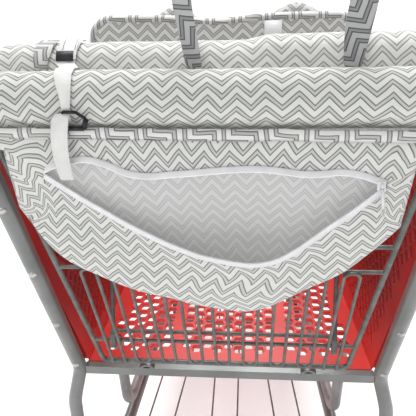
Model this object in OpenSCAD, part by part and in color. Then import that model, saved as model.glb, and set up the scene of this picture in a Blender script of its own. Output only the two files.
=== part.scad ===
// Shopping cart with a moulded basket on a tube frame and a padded fabric cover over its child seat.
// Millimetres. +X is to the right, +Y to the cart's front, +Z up. The origin is on the floor under
// the middle of the cart, and the pusher stands at the -Y end.

/* [Frame] */
// Distance between the centre lines of the two uprights
upright_spacing = 560; // [550:1:570]
// Outside diameter of the frame tube
tube_d = 25.4; // [24:0.1:26]
// Wall thickness of the frame tube
tube_wall = 1.6; // [1.2:0.1:2.5]
// Backward lean of the uprights from the vertical, in degrees
lean = 15; // [14.5:0.1:15.5]
// Height of the rear crossbar's centre
crossbar_z = 430; // [428:1:432]
// Height of the handle's axis
handle_z = 1010; // [1008:1:1014]
// Height of the chassis rails' centre lines
rail_z = 180; // [178:1:184]
// Distance from the foot of the uprights forward to the basket's front rim
basket_reach = 830; // [820:5:840]

/* [Basket] */
// Height of the basket floor's upper face
floor_z = 440; // [440:0.5:441]
// Half the basket's inside width at its rear edge, at the floor
basket_half_w = 266; // [265:0.5:266]
// Inward taper of each side wall, in mm per mm of length
basket_taper = 0.095; // [0.09:0.001:0.1]
// Outward draft of each side wall, in mm per mm of height
basket_draft = 0.02; // [0.018:0.001:0.022]
// Wall thickness of the basket
basket_wall = 4; // [3:0.5:5]
// Height of the rim at the rear
rim_rear_z = 930; // [920:5:940]
// Height of the rim at the front
rim_front_z = 880; // [870:5:890]

/* [Rear gate and child seat] */
// Sideways play that the gate has taken up on its hinge rod
gate_shift = -6; // [-6:1:0]
// Diameter of the gate's outer rod
gate_rod_d = 9; // [8:0.5:9]
// Diameter of the gate's cross rods, which the seat hinges on
cross_rod_d = 6.5; // [6:0.1:6.5]
// Diameter of the gate's upright wires
gate_wire_d = 5.5; // [5:0.1:5.5]
// Distance from one pair of gate wires to the next
pair_pitch = 48.5; // [48:0.1:49]
// Forward lean of the open seat back, in degrees
seat_lean = 22; // [22:0.5:23]
// Radial clearance of every hinge loop on its rod
hinge_play = 0.06; // [0.03:0.01:0.09]

/* [Casters] */
// Outside diameter of the four tyres
tyre_d = 125; // [124:1:125]
// Width of a tyre
tyre_w = 30; // [28:1:30]
// Trail of the swivelling front casters
trail = 34; // [32:1:35]

/* [Seat cover] */
// Outside diameter of the padded roll around the handle
handle_roll_d = 66; // [60:1:66]
// Outside diameter of the second roll, on the seat side of the handle
top_roll_d = 56; // [50:1:56]
// Thickness of a padded panel
pad_t = 10; // [8:0.5:10]
// Width of the carrying strap
carry_w = 28; // [24:1:30]

/* [Hidden] */
$fn = 48;
bend_grow = 0.3;
bend_lap = 1;

bumper_t = 6;
rear_reach = 193.8;
foot_y = (rear_reach - basket_reach - bumper_t) / 2;
upright_x = upright_spacing / 2;
tube_r = tube_d / 2;

// gate: its plane is the uprights' plane moved forward by gate_off
gate_off = 3;
gate_bottom_z = 457;
hairpin_z = gate_bottom_z + 7;
gate_half_w = 224;
gate_flare = 0.0554;
cross_z = 528;
low_rail_z = 728;
seat_hinge_z = 781;
wire_top_z = seat_hinge_z + 2;
gate_top_z = 945;
hinge_z = 960;
hinge_rod_d = 9.5;
wire_off = gate_off - cross_rod_d / 2 - gate_wire_d / 2 + 0.4;
pair_w = 24;
outer_pair_x = 192.3;

// seat
seat_rod_d = 8;
seat_half_w = 192;
seat_back_top_z = 1005;
seat_plate_reach = 142;
seat_plate_drop = 6.5;

// casters
axle_d = 10;
fork_top_z = 131;
fork_plate_t = 5;
fork_side_t = 3;
fork_gap = 38;
rear_leg_x = 306;
rear_leg_y = foot_y - 30;
front_x = 188;
front_y = foot_y + 668;

function unit(v) = v / norm(v);
// y of a point on the uprights' plane at height z, moved forward by off square to the plane
function up_y(z, off = 0) = foot_y - (z - crossbar_z) * tan(lean) + off / cos(lean);
// half the basket's inside width at a place
function half_w(y, z) =
  basket_half_w - basket_taper * (y - foot_y) + basket_draft * (z - floor_z);
function rim_z(y) = rim_rear_z
  + (rim_front_z - rim_rear_z) * (y - foot_y + 120) / (basket_reach + 120);
function gate_x(z) = gate_half_w + gate_flare * (z - gate_bottom_z);

// a straight rod between two points
module rod(a, b, d) {
  v = b - a;
  translate(a)
    rotate([0, acos(v.z / norm(v)), atan2(v.y, v.x)])
      cylinder(d = d, h = norm(v));
}

// the bent corner of a rod that runs a - b - c, with bend radius r
module elbow(a, b, c, r, d) {
  u = unit(b - a);
  v = unit(c - b);
  turn = acos(u * v);
  n = unit(v - (u * v) * u);
  w = cross(-n, u);
  m = b - u * r * tan(turn / 2) + n * r;
  multmatrix([
    [-n.x, u.x, w.x, m.x],
    [-n.y, u.y, w.y, m.y],
    [-n.z, u.z, w.z, m.z],
    [0, 0, 0, 1]
  ])
    rotate_extrude(angle = turn)
      translate([r, 0])
        circle(d = d);
}

// a rod through the points p, bent with radius r[i] at p[i]; the straights run a little way
// into the bends, which are bend_grow thicker
module bent(p, r, d) {
  last = len(p) - 1;
  trim = [for (i = [0 : last]) i == 0 || i == last ? 0
    : r[i] * tan(acos(unit(p[i] - p[i - 1]) * unit(p[i + 1] - p[i])) / 2)];
  for (i = [0 : last - 1]) {
    u = unit(p[i + 1] - p[i]);
    from = trim[i] - (i == 0 ? 0 : bend_lap);
    to = trim[i + 1] - (i == last - 1 ? 0 : bend_lap);
    rod(p[i] + u * from, p[i + 1] - u * to, d);
  }
  for (i = [1 : 1 : last - 1])
    elbow(p[i - 1], p[i], p[i + 1], r[i], d + bend_grow);
}

// places its children in the uprights' leaning plane: local Z up the slope, local Y forward
module leaning(z, off = 0) {
  translate([0, up_y(z, off), z])
    rotate([lean, 0, 0])
      children();
}

// a plate drawn in X and Z, from local y = 0 back by t
module sheet(t) {
  rotate([90, 0, 0])
    linear_extrude(t)
      children();
}

// one bent tube each side: from the handle down the leaning upright and the rear leg to the
// caster; side is -1 on the left and 1 on the right
module frame_side(side) {
  color("#8b9088")
    difference() {
      bent([
        [side * 206, up_y(handle_z), handle_z],
        [side * upright_x, up_y(handle_z), handle_z],
        [side * upright_x, foot_y, crossbar_z],
        [side * 301, foot_y - 12, 352],
        [side * rear_leg_x, rear_leg_y, fork_top_z + fork_plate_t + 0.2]
      ], [0, 32, 60, 150, 0], tube_d);
      // the handle tube plugs in here
      rod([side * 200, up_y(handle_z), handle_z], [side * 236, up_y(handle_z), handle_z],
        tube_d - 2 * tube_wall);
    }
}

// flat bar welded between the uprights, with two small bridges over the basket's rear lip
module rear_crossbar() {
  bar_h = 19;
  bar_t = 13;
  color("#868b83")
    difference() {
      union() {
        translate([-upright_x + tube_r - 1, foot_y - bar_t / 2, crossbar_z - bar_h / 2])
          cube([upright_spacing - tube_d + 2, bar_t, bar_h]);
        for (x = [-1, 1] * 150)
          translate([x, foot_y, crossbar_z + 2])
            rotate([90, 0, 0])
              cylinder(r = 16, h = bar_t, center = true);
      }
      for (x = [-1, 1] * 150)
        translate([x, foot_y, crossbar_z + 2])
          rotate([90, 0, 0])
            difference() {
              cylinder(r = 11.5, h = bar_t + 2, center = true);
              translate([-20, -40, -bar_t])
                cube([40, 48, 2 * bar_t]);
            }
      translate([-upright_x, foot_y - bar_t, crossbar_z - bar_h / 2 - 20])
        cube([upright_spacing, 2 * bar_t, 20]);
    }
}

// steel tube that joins the tops of the two uprights inside the grip
module handle_tube() {
  color("#8b9088")
    translate([0, up_y(handle_z), handle_z])
      rotate([0, 90, 0])
        difference() {
          cylinder(d = tube_d - 2 * tube_wall - 0.1, h = 460, center = true);
          cylinder(d = tube_d - 4 * tube_wall, h = 462, center = true);
        }
}

module handle_grip() {
  color("#b3262b")
    translate([0, up_y(handle_z), handle_z])
      rotate([0, 90, 0])
        difference() {
          cylinder(d = 34, h = 408, center = true);
          cylinder(d = tube_d - 2 * tube_wall + 0.1, h = 410, center = true);
        }
}

module gate_hinge_rod() {
  color("#8f948d")
    translate([0, up_y(hinge_z, gate_off), hinge_z])
      rotate([0, 90, 0])
        cylinder(d = hinge_rod_d, h = upright_spacing - tube_d + 4, center = true);
}

// a six-sided slab between two four-cornered faces, both listed the same way round
module slab(a, b) {
  polyhedron(concat(a, b), [
    [0, 1, 2, 3], [7, 6, 5, 4],
    [4, 5, 1, 0], [5, 6, 2, 1], [6, 7, 3, 2], [7, 4, 0, 3]
  ]);
}

// moulded in one piece: floor, two side walls, front wall, rim and the two rear flanges
module basket() {
  t = basket_wall;
  mid = t / 2;
  bead = 1.5;
  lip_y = foot_y + 8;
  front_low_y = foot_y + 760;
  front_top_y = foot_y + basket_reach;
  rear_top_y = up_y(rim_rear_z, 13.5);
  rear_low_y = up_y(floor_z, 13.5);
  front_z = rim_z(front_top_y);
  rear_z = rim_z(rear_top_y);
  low_z = floor_z - t;
  color("#c1272d") {
    translate([0, 0, low_z])
      linear_extrude(t)
        polygon([
          [-half_w(rear_low_y, floor_z) - mid, rear_low_y + 1],
          [-half_w(lip_y, floor_z) + 3, lip_y], [half_w(lip_y, floor_z) - 3, lip_y],
          [half_w(rear_low_y, floor_z) + mid, rear_low_y + 1],
          [half_w(front_low_y, floor_z) + mid, front_low_y + mid],
          [-half_w(front_low_y, floor_z) - mid, front_low_y + mid]
        ]);
    for (s = [-1, 1]) {
      low_rear = [s * half_w(rear_low_y, low_z), rear_low_y, low_z];
      top_rear = [s * half_w(rear_top_y, rear_z), rear_top_y, rear_z];
      low_front_y = front_low_y + t + bead;
      low_front = [s * half_w(low_front_y, low_z), low_front_y, low_z];
      top_front = [s * half_w(front_top_y + bead, front_z), front_top_y + bead, front_z];
      inner = [low_rear, low_front, top_front, top_rear];
      outer = [for (p = inner) p + [s * t, 0, 0]];
      slab(s > 0 ? inner : outer, s > 0 ? outer : inner);
      rim_in = [
        top_rear + [s * mid, 1, -10], top_front + [s * mid, 1, -10],
        top_front + [s * mid, 1, -1], top_rear + [s * mid, 1, -1]
      ];
      rim_out = [for (p = rim_in) p + [s * 11, 0, 0]];
      slab(s > 0 ? rim_in : rim_out, s > 0 ? rim_out : rim_in);
      flange_top = (rear_z - floor_z) / cos(lean) - 10;
      leaning(floor_z, 18)
        sheet(t)
          polygon([
            [s * (half_w(rear_low_y, floor_z) + mid), 2], [s * 291, 2],
            [s * 291, flange_top], [s * (half_w(rear_top_y, rear_z) + mid), flange_top]
          ]);
    }
    hw_low = half_w(front_low_y, floor_z) + mid;
    hw_top = half_w(front_top_y, front_z) + mid;
    front_in = [
      [-hw_low, front_low_y, low_z + 1], [hw_low, front_low_y, low_z + 1],
      [hw_top, front_top_y - t, front_z], [-hw_top, front_top_y - t, front_z]
    ];
    slab([for (p = front_in) p + [0, t, 0]], front_in);
    rim_front = [
      [-hw_top - 12.5, front_top_y, front_z - 11], [hw_top + 12.5, front_top_y, front_z - 11],
      [hw_top + 12.5, front_top_y, front_z - 2], [-hw_top - 12.5, front_top_y, front_z - 2]
    ];
    slab([for (p = rim_front) p + [0, bumper_t, 0]], [for (p = rim_front) p - [0, mid, 0]]);
  }
}

// domed rivets through each upright into the basket's rear flange
module basket_rivets() {
  color("silver")
    for (s = [-1, 1])
      for (z = [460, 594, 726, 857])
        translate([s * upright_x, up_y(z), z])
          rotate([90 + lean, 0, 0]) {
            translate([0, 0, -18.5])
              cylinder(d = 4.8, h = 18.5 + tube_r + 1, $fn = 24);
            translate([0, 0, tube_r - 0.6])
              intersection() {
                translate([0, 0, -4])
                  sphere(r = 7.6, $fn = 32);
                cylinder(r = 6.5, h = 8, $fn = 32);
              }
          }
}

module chassis_rail(side) {
  color("#8b9088")
    bent([
      [side * (rear_leg_x - 8), foot_y - 19, rail_z],
      [side * 230, foot_y + 70, rail_z],
      [side * 172, foot_y + 745, rail_z],
      [side * 105, foot_y + 745, rail_z]
    ], [0, 60, 45, 0], tube_d);
}

module chassis_front_tube() {
  color("#8b9088")
    translate([0, foot_y + 745, rail_z])
      rotate([0, 90, 0])
        difference() {
          cylinder(d = tube_d, h = 209.6, center = true);
          cylinder(d = tube_d - 2 * tube_wall, h = 212, center = true);
        }
}

// two thin tubes that tie the rails and carry the rack wires
module chassis_cross_tubes() {
  color("#8b9088")
    for (c = [[60, 228], [400, 199]])
      translate([0, foot_y + c[0], rail_z])
        rotate([0, 90, 0])
          cylinder(d = 16, h = 2 * (c[1] - 8), center = true);
}

module front_support(side) {
  low = [side * 88, foot_y + 748, rail_z + tube_r - 1];
  high = [side * 150, foot_y + 735, floor_z - basket_wall - 0.3];
  color("#8b9088")
    bent([low, [side * 150, foot_y + 735, 300], high], [0, 60, 0], 22);
}

// hangs from the basket's underside, turns forward and runs beside the lower rack
module rack_rail(side) {
  color("#85898a")
    bent([
      [side * 226, foot_y + 80, floor_z - basket_wall - 0.3],
      [side * 226, foot_y + 80, 225],
      [side * 163, foot_y + 728, 225]
    ], [0, 38, 0], 22);
}

// three hairpin wires, each a pair of legs joined by a round end at the rear
module rack_wires() {
  wire_d = 4;
  leg = 28.5;
  shift = -12;
  z = rail_z + 8 + wire_d / 2 - 0.3;
  color("#77716d")
    for (k = [-1, 0, 1])
      translate([k * 144 + shift, foot_y + 55, z])
        rotate([0, 0, k * 6.2]) {
          for (s = [-1, 1])
            rod([s * leg, 0, 0], [s * leg, k == 0 ? 675 : 668, 0], wire_d, $fn = 24);
          rotate([0, 0, 180])
            rotate_extrude(angle = 180)
              translate([leg, 0])
                circle(d = wire_d, $fn = 24);
        }
}

// pressed yoke: a top plate and two side plates around the wheel, at the caster's own origin
module fork(x, y, wheel_y) {
  inside = fork_gap / 2;
  outside = inside + fork_side_t;
  color("#a9adb0")
    translate([x, y, 0])
      difference() {
        union() {
          translate([0, 0, fork_top_z])
            cylinder(r = 24, h = fork_plate_t);
          for (s = [-1, 1])
            translate([s * (inside + fork_side_t / 2), 0, 0])
              rotate([90, 0, 90])
                linear_extrude(fork_side_t, center = true)
                  polygon([
                    [-14, fork_top_z + fork_plate_t], [14, fork_top_z + fork_plate_t],
                    [wheel_y + 13, tyre_d / 2 - 4], [wheel_y + 6, tyre_d / 2 - 14],
                    [wheel_y - 6, tyre_d / 2 - 14], [wheel_y - 13, tyre_d / 2 - 4]
                  ]);
        }
        translate([0, wheel_y, tyre_d / 2])
          rotate([0, 90, 0])
            cylinder(d = axle_d + 0.2, h = 2 * outside + 2, center = true);
      }
}

// bolt with a round head and a nut, at the wheel's centre
module axle(x, y) {
  color("silver")
    translate([x, y, tyre_d / 2])
      rotate([0, 90, 0]) {
        cylinder(d = axle_d, h = fork_gap + 2 * fork_side_t + 2, center = true);
        translate([0, 0, fork_gap / 2 + fork_side_t])
          cylinder(d = 16, h = 4, $fn = 6);
        translate([0, 0, -fork_gap / 2 - fork_side_t - 4])
          cylinder(d = 17, h = 4);
      }
}

module hub(x, y) {
  color("#6f7274")
    translate([x, y, tyre_d / 2])
      rotate([0, 90, 0])
        difference() {
          union() {
            cylinder(d = tyre_d - 24, h = tyre_w - 10, center = true);
            cylinder(d = 34, h = fork_gap - 2, center = true);
          }
          cylinder(r = axle_d / 2 + hinge_play, h = fork_gap, center = true);
          for (s = [-1, 1])
            translate([0, 0, s * (tyre_w / 2 - 2)])
              difference() {
                cylinder(d = tyre_d - 36, h = 12, center = true);
                cylinder(d = 34, h = 14, center = true);
              }
        }
}

module tyre(x, y) {
  r = tyre_d / 2;
  w = tyre_w / 2;
  color("#3b3c3e")
    translate([x, y, r])
      rotate([0, 90, 0])
        rotate_extrude()
          difference() {
            union() {
              translate([r - 11.9, -w])
                square([6.9, tyre_w]);
              translate([r - 11.9, -w + 5])
                square([11.9, tyre_w - 10]);
              for (s = [-1, 1])
                translate([r - 5, s * (w - 5)])
                  circle(r = 5);
            }
            translate([0, -2 * w])
              square([r - 11.9, 4 * w]);
          }
}

// welded under the rails: each holds the stem of a swivelling fork
module swivel_sockets() {
  color("#8b9088")
    for (s = [-1, 1])
      translate([s * front_x, front_y, fork_top_z + fork_plate_t + 0.8])
        difference() {
          cylinder(d = 32, h = rail_z - tube_r + 1.2 - fork_top_z - fork_plate_t - 0.8);
          translate([0, 0, -1])
            cylinder(r = 6 + hinge_play, h = 27);
        }
}

module front_fork(side) {
  fork(side * front_x, front_y, -trail);
  color("#a9adb0")
    translate([side * front_x, front_y, fork_top_z])
      cylinder(r = 6, h = fork_plate_t + 24);
}

// an upright gate wire pair joined by a round end: a hairpin with its legs up
module hairpin(z) {
  r = pair_w / 2;
  rise = (wire_top_z - z) / cos(lean);
  translate([0, 0, r]) {
    for (s = [-1, 1])
      translate([s * r, 0, 0])
        cylinder(d = gate_wire_d, h = rise - r, $fn = 24);
    rotate([90, 180, 0])
      rotate_extrude(angle = 180)
        translate([r, 0])
          circle(d = gate_wire_d, $fn = 24);
  }
}

// the gate below the seat: outer rod, cross rods and wire pairs
module gate_grille() {
  corner = [gate_half_w, up_y(gate_bottom_z, gate_off), gate_bottom_z];
  top = [gate_x(seat_hinge_z), up_y(seat_hinge_z, gate_off), seat_hinge_z];
  flip = [-1, 1, 1];
  color("#6e756f")
    translate([gate_shift, 0, 0]) {
      bent([[for (i = [0:2]) flip[i] * top[i]], [for (i = [0:2]) flip[i] * corner[i]],
        corner, top], [0, 12, 12, 0], gate_rod_d);
      for (z = [cross_z, low_rail_z, seat_hinge_z])
        translate([0, up_y(z, gate_off), z])
          rotate([0, 90, 0])
            cylinder(d = cross_rod_d, h = 2 * gate_x(z), center = true);
      leaning(hairpin_z, wire_off)
        for (k = [-3 : 3])
          translate([k * pair_pitch, 0, 0])
            hairpin(hairpin_z);
      for (s = [-1, 1])
        leaning(gate_bottom_z + 1, wire_off)
          translate([s * outer_pair_x, 0, 0]) {
            rise = (low_rail_z - gate_bottom_z) / cos(lean) - 11;
            for (e = [-1, 1])
              translate([e * 11.5, 0, 0])
                cylinder(d = gate_wire_d, h = rise, $fn = 24);
            translate([0, 0, rise])
              rotate([90, 0, 0])
                rotate_extrude(angle = 180)
                  translate([11.5, 0])
                    circle(d = gate_wire_d, $fn = 24);
          }
    }
}

// the gate above the seat: side rods, top rod, centre posts and the hinge loops
module gate_leg_frame() {
  color("#6e756f")
    translate([gate_shift, 0, 0])
      difference() {
        union() {
          for (s = [-1, 1]) {
            rod([s * gate_x(seat_hinge_z), up_y(seat_hinge_z, gate_off), seat_hinge_z],
              [s * gate_x(hinge_z - 4), up_y(hinge_z - 4, gate_off), hinge_z - 4], gate_rod_d);
            for (x = [pair_w / 2, 190])
              rod([s * x, up_y(wire_top_z, wire_off), wire_top_z],
                [s * x, up_y(gate_top_z, wire_off), gate_top_z], gate_wire_d);
          }
          translate([0, up_y(gate_top_z, gate_off), gate_top_z])
            rotate([0, 90, 0])
              cylinder(d = cross_rod_d, h = 2 * gate_x(gate_top_z), center = true);
          for (x = [-1, 1] * gate_x(hinge_z), y = [0])
            translate([x - sign(x) * 4, up_y(hinge_z, gate_off), hinge_z])
              rotate([0, 90, 0])
                cylinder(d = 17, h = 14, center = true);
          for (x = [-1, 1] * 80)
            translate([x, up_y(hinge_z, gate_off), hinge_z])
              rotate([0, 90, 0])
                cylinder(d = 17, h = 14, center = true);
          for (x = [-1, 1] * 80)
            rod([x, up_y(gate_top_z, gate_off), gate_top_z],
              [x, up_y(hinge_z - 6, gate_off), hinge_z - 6], gate_rod_d);
        }
        translate([0, up_y(hinge_z, gate_off), hinge_z])
          rotate([0, 90, 0])
            cylinder(r = hinge_rod_d / 2 + hinge_play, h = 560, center = true);
        // room for the seat plate's hinge rod
        translate([0, up_y(seat_hinge_z, gate_off), seat_hinge_z])
          rotate([0, 90, 0])
            cylinder(d = cross_rod_d, h = 2 * gate_x(seat_hinge_z) + 12, center = true);
      }
}

// places its children on the open seat back: local Z up the seat back, local Y forward
module on_seat_back() {
  translate([gate_shift, up_y(cross_z, gate_off), cross_z])
    rotate([-seat_lean, 0, 0])
      children();
}

seat_back_len = (seat_back_top_z - cross_z) / cos(seat_lean);

// bent outer rod with two hinge sleeves that turn on the gate's cross rod
module seat_back_frame() {
  color("#6e756f")
    on_seat_back()
      difference() {
        union() {
          bent([
            [-seat_half_w, 0, 8], [-seat_half_w, 0, seat_back_len],
            [seat_half_w, 0, seat_back_len], [seat_half_w, 0, 8]
          ], [0, 35, 35, 0], seat_rod_d);
          translate([0, 0, 17])
            rotate([0, 90, 0])
              cylinder(d = cross_rod_d, h = 2 * seat_half_w, center = true);
          for (s = [-1, 1])
            translate([s * seat_half_w, 0, 0])
              rotate([90, 0, 90])
                linear_extrude(9, center = true) {
                  translate([0, -9])
                    circle(d = 12);
                  translate([0, 9])
                    circle(d = 12);
                  translate([-6, -9])
                    square([12, 18]);
                }
        }
        rotate([0, 90, 0])
          cylinder(r = cross_rod_d / 2 + hinge_play, h = 420, center = true);
      }
}

// wire grid of the seat back, above the seat
module seat_back_wires() {
  low = 205;
  wire_d = 4;
  color("#6e756f")
    on_seat_back() {
      for (z = [low, low + 130, low + 255])
        translate([0, 0, z])
          rotate([0, 90, 0])
            cylinder(d = 5, h = 2 * seat_half_w - seat_rod_d + 0.6, center = true, $fn = 24);
      for (k = [-5 : 5])
        translate([k * 32, 3.9, low])
          cylinder(d = wire_d, h = seat_back_len - low - 1, $fn = 24);
    }
}

// moulded flap on two pairs of loops around the gate's seat rod
module seat_plate() {
  color("#c1272d")
    translate([gate_shift, up_y(seat_hinge_z, gate_off), seat_hinge_z])
      difference() {
        union() {
          translate([-172, 12, -seat_plate_drop - 2])
            cube([344, seat_plate_reach - 12, 3.5]);
          for (x = [-121.2, -24.2, 24.2, 121.2]) {
            translate([x, 0, 0])
              rotate([0, 90, 0])
                cylinder(d = 14, h = 11, center = true);
            translate([x - 5.5, 0, -7])
              cube([11, 18, 5]);
          }
        }
        rotate([0, 90, 0])
          cylinder(r = cross_rod_d / 2 + hinge_play, h = 420, center = true);
      }
}

// ---- fabric cover: plain closed solids for the padded and sewn pieces ----

// padding and fabric wrapped around the grip
module cover_handle_roll() {
  color("#dcdcd8")
    translate([0, up_y(handle_z), handle_z])
      rotate([0, 90, 0])
        difference() {
          union() {
            cylinder(d = handle_roll_d, h = 460, center = true);
            for (s = [-1, 1])
              translate([0, 0, s * 230])
                rotate([0, s * 90 - 90, 0])
                  cylinder(r1 = handle_roll_d / 2, r2 = handle_roll_d / 2 - 10, h = 16);
          }
          cylinder(d = 34.4, h = 520, center = true);
        }
}

top_roll_y = foot_y - 95;
top_roll_z = 1030;

module cover_top_roll() {
  r = top_roll_d / 2;
  color("#dcdcd8")
    translate([0, top_roll_y, top_roll_z])
      rotate([0, 90, 0]) {
        cylinder(r = r, h = 480, center = true);
        for (s = [-1, 1])
          translate([0, 0, s * 240])
            rotate([0, s * 90 - 90, 0])
              cylinder(r1 = r, r2 = r - 10, h = 16);
      }
}

// the pocket hangs from the handle roll in a plane that leans pocket_lean from the vertical
pocket_lean = 6;
pocket_top_z = 972;
pocket_y = foot_y - 180;
// the pocket's outline and its mouth, which hangs open, as [x, height from the top edge]
pocket_shape = [
  [222, 8], [214, -30], [211, -60], [210, -92], [208, -110], [192, -135], [179, -152],
  [159, -176], [137, -194], [111, -211], [81, -233], [32, -252], [-15, -247], [-61, -233],
  [-99, -222], [-129, -208], [-151, -195], [-176, -179], [-191, -166], [-204, -148],
  [-213, -129], [-222, -105], [-230, -86], [-228, -46], [-226, 8]
];
mouth_shape = [
  [182, -50], [135, -36], [93, -38], [48, -31], [-6, -34], [-67, -41], [-103, -34],
  [-140, -20], [-174, -29], [-190, -38], [-168, -56], [-112, -95], [-52, -131],
  [-10, -147], [22, -154], [50, -158], [69, -153], [92, -137], [134, -96], [154, -79]
];

module on_pocket(y = 0) {
  translate([0, pocket_y, pocket_top_z])
    rotate([pocket_lean, 0, 0])
      translate([0, y, 0])
        children();
}

module cover_pocket_front() {
  color("#dcdcd8")
    on_pocket()
      sheet(3)
        difference() {
          polygon(pocket_shape);
          polygon(mouth_shape);
        }
}

module cover_pocket_lining() {
  color("#ecebe8")
    translate([0, foot_y - 160, pocket_top_z - 6])
      rotate([8, 0, 0])
        sheet(2)
          scale([0.95, 0.95])
            polygon(pocket_shape);
}

module cover_binding() {
  color("#d0d1cd")
    on_pocket(-3.3)
      translate([-238, -3, 4])
        cube([476, 3, 13]);
}

// the two zip tapes along the mouth's upper and lower edges
module cover_zip_tapes() {
  color("white")
    on_pocket(-3.3)
      sheet(1.6)
        difference() {
          translate([0, -98])
            scale([1.035, 1.1])
              translate([0, 98])
                polygon(mouth_shape);
          translate([0, -98])
            scale([0.995, 0.985])
              translate([0, 98])
                polygon(mouth_shape);
        }
}

module cover_zip_slider() {
  color("#e6e6e6")
    on_pocket(-5.2)
      translate([183, 0, -48]) {
        translate([-5, -3, -8])
          cube([10, 3, 14]);
        translate([-3, -4.5, -44])
          cube([6, 1.3, 40]);
        translate([-2.5, -4.5, -8])
          cube([5, 2, 5]);
      }
}

strap_x = -155;
strap_w = 19;
// webbing strap over the handle roll, hanging down in front of the pocket
module cover_strap() {
  r = handle_roll_d / 2 + 0.4;
  color("#f2f2ef")
    translate([strap_x, up_y(handle_z), handle_z]) {
      rotate([90, 0, 90])
        translate([0, 0, -strap_w / 2])
          rotate([0, 0, 60])
            rotate_extrude(angle = 120)
              translate([r, 0])
                square([1.6, strap_w]);
      translate([-strap_w / 2 - 0.15, -r - 1.75, -80])
        cube([strap_w + 0.3, 1.9, 81]);
    }
}

module cover_strap_label() {
  color("white")
    translate([strap_x, up_y(handle_z), handle_z])
      rotate([90, 0, 90])
        translate([0, 0, -strap_w / 2 + 1.5])
          rotate([0, 0, 74])
            rotate_extrude(angle = 42)
              translate([handle_roll_d / 2 + 2.2, 0])
                square([0.8, strap_w - 3]);
}

// two-bar slide that shortens the strap
module cover_strap_buckle() {
  color("#26282c")
    translate([strap_x + 17, up_y(handle_z) - handle_roll_d / 2 - 3.9, handle_z - 9])
      difference() {
        cube([22, 3, 26], center = true);
        for (s = [-1, 1])
          translate([0, 0, s * 6])
            cube([16, 5, 7.5], center = true);
      }
}

carry_x = 62;
carry_half = 85;
carry_top_z = 1185;
// tote-bag style loop, its two ends sewn down between the two rolls
module cover_carry_strap() {
  r_out = carry_half + carry_w / 2;
  r_in = carry_half - carry_w / 2;
  low = top_roll_z - 2;
  rise = carry_top_z - r_out - low;
  color("#c9cac6")
    translate([carry_x, foot_y - 123.8, low])
      sheet(3) {
        for (s = [-1, 1])
          translate([s * carry_half - carry_w / 2, 0])
            square([carry_w, rise]);
        translate([0, rise])
          difference() {
            circle(r = r_out);
            circle(r = r_in);
            translate([-r_out - 1, -r_out - 1])
              square([2 * r_out + 2, r_out + 1]);
          }
      }
}

// a rectangle with rounded corners
module leg_hole(w, h, r) {
  square([w - 2 * r, h], center = true);
  square([w, h - 2 * r], center = true);
  for (x = [-1, 1] * (w / 2 - r), y = [-1, 1] * (h / 2 - r))
    translate([x, y])
      circle(r = r);
}

// lining on the seat side of the gate, with two leg holes
module cover_gate_pad() {
  low_z = 800;
  high = (935 - low_z) / cos(lean);
  color("#e4e4e0")
    translate([gate_shift, 0, 0])
      leaning(low_z, gate_off + gate_rod_d / 2 + 6.5)
        sheet(6)
          difference() {
            translate([-212, 0])
              square([424, high]);
            for (s = [-1, 1])
              translate([s * 107, 62])
                leg_hole(120, 104, 20);
          }
}

module cover_seat_pad() {
  color("#e4e4e0")
    translate([gate_shift, up_y(seat_hinge_z, gate_off), seat_hinge_z])
      translate([-178, 33, -seat_plate_drop + 1.8])
        cube([356, seat_plate_reach - 33, pad_t]);
}

// padded sleeve over the seat back: its thick side faces the child
module cover_back_pad() {
  color("#e4e4e0")
    on_seat_back()
      translate([-206, -seat_rod_d / 2 - 1 - pad_t, 228])
        cube([412, pad_t, seat_back_len - 228 + 20]);
}

module cover_back_flap() {
  color("#d6d7d3")
    on_seat_back() {
      translate([-206, 6.6, 300])
        cube([412, 4, seat_back_len - 300 + 20]);
      translate([-206, -seat_rod_d / 2 - 1 + 0.2, seat_back_len + 8])
        cube([412, 12, 12]);
    }
}

frame_side(-1);  // frame_side_left
frame_side(1);  // frame_side_right
rear_crossbar();
handle_tube();
handle_grip();
gate_hinge_rod();
basket();
basket_rivets();
chassis_rail(-1);  // chassis_rail_left
chassis_rail(1);  // chassis_rail_right
chassis_front_tube();
chassis_cross_tubes();
front_support(-1);  // front_support_left
front_support(1);  // front_support_right
rack_rail(-1);  // rack_rail_left
rack_rail(1);  // rack_rail_right
rack_wires();
fork(-rear_leg_x, rear_leg_y, 0);  // rear_fork_left
fork(rear_leg_x, rear_leg_y, 0);  // rear_fork_right
for (s = [-1, 1]) axle(s * rear_leg_x, rear_leg_y);  // rear_axles
swivel_sockets();
gate_grille();
gate_leg_frame();
seat_back_frame();
seat_back_wires();
seat_plate();
front_fork(-1);  // front_fork_left
front_fork(1);  // front_fork_right
axle(-front_x, front_y - trail);  // front_axle_left
axle(front_x, front_y - trail);  // front_axle_right
hub(-front_x, front_y - trail);  // hub_front_left
hub(front_x, front_y - trail);  // hub_front_right
hub(-rear_leg_x, rear_leg_y);  // hub_rear_left
hub(rear_leg_x, rear_leg_y);  // hub_rear_right
tyre(-front_x, front_y - trail);  // tyre_front_left
tyre(front_x, front_y - trail);  // tyre_front_right
tyre(-rear_leg_x, rear_leg_y);  // tyre_rear_left
tyre(rear_leg_x, rear_leg_y);  // tyre_rear_right
cover_handle_roll();
cover_top_roll();
cover_pocket_front();
cover_pocket_lining();
cover_binding();
cover_zip_tapes();
cover_zip_slider();
cover_strap();
cover_strap_label();
cover_strap_buckle();
cover_carry_strap();
cover_gate_pad();
cover_seat_pad();
cover_back_pad();
cover_back_flap();
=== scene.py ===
import math

import bmesh
import bpy
from mathutils import Matrix, Vector, noise


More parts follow.
